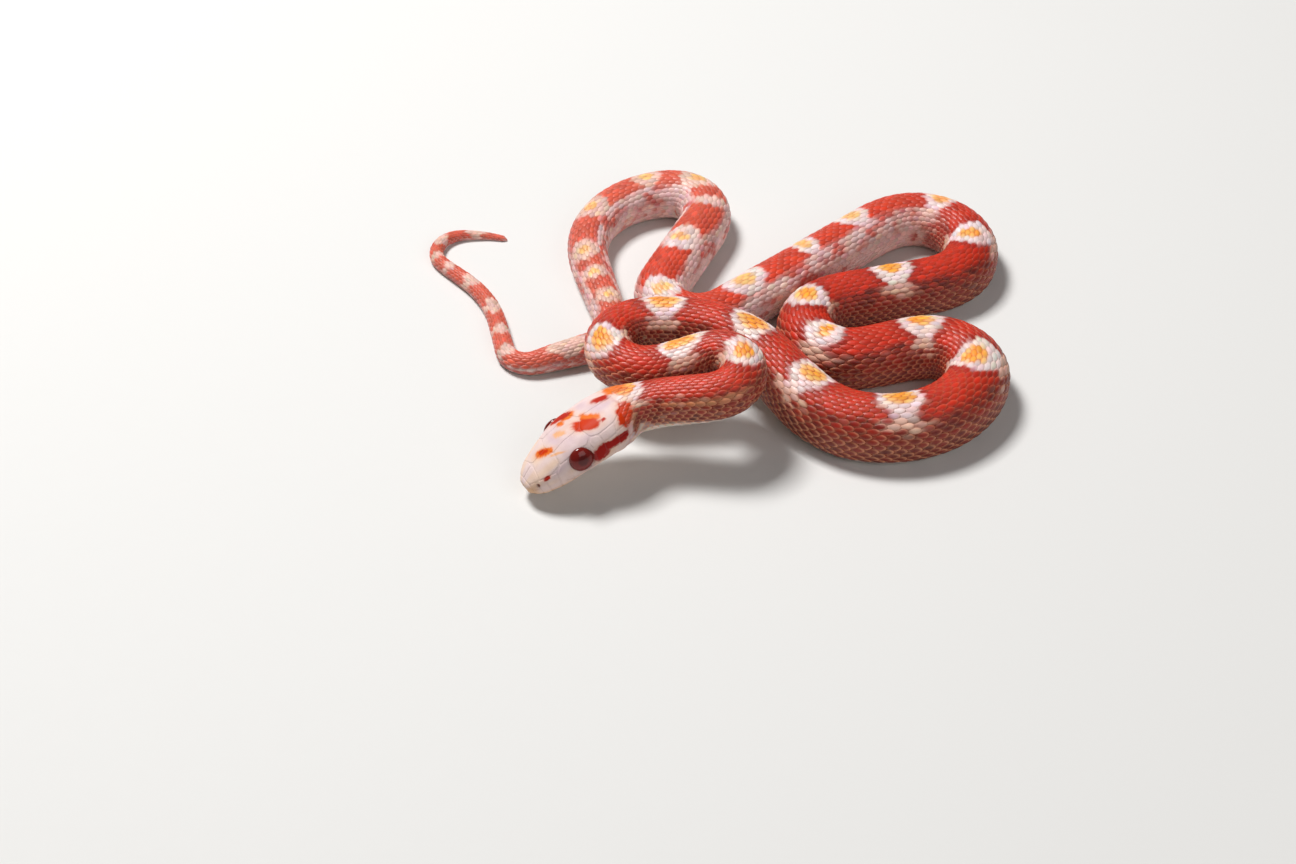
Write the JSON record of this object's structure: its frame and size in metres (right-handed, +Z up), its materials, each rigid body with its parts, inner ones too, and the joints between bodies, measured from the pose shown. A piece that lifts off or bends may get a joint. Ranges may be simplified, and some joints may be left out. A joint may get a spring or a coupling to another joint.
{
  "type": "corn snake",
  "caption": "Life-size young corn snake lying in loose coils, mouth shut, red-orange saddles on a pinkish-white ground, red eyes.",
  "frame": {"origin": "on the floor, under the middle of the coils' bounding box", "axes": "+X to the right along the longest spread of the coils, +Y to the back, +Z up; the snout points to -X and -Y"},
  "size_m": [0.0672, 0.0557, 0.0118],
  "materials": {
    "head_skin": "smooth head shields, pinkish white with orange-red marks, satin gloss",
    "body_skin": "small overlapping scales, red saddles with orange and pinkish-white patches, satin gloss",
    "tail_skin": "small overlapping scales in red and pinkish-white bands, satin gloss",
    "eye": "deep red, wet gloss"
  },
  "bodies": {
    "root": {"head": "head_skin", "lower_jaw": "head_skin", "eye_left": "eye", "eye_right": "eye", "neck": "body_skin", "trunk_front_1": "body_skin", "trunk_front_2": "body_skin", "trunk_middle_1": "body_skin", "trunk_middle_2": "body_skin", "trunk_middle_3": "body_skin", "trunk_rear_1": "body_skin", "trunk_rear_2": "body_skin", "trunk_rear_3": "body_skin", "tail_base": "tail_skin", "tail_middle": "tail_skin", "tail_tip": "tail_skin"}
  },
  "joints": []
}
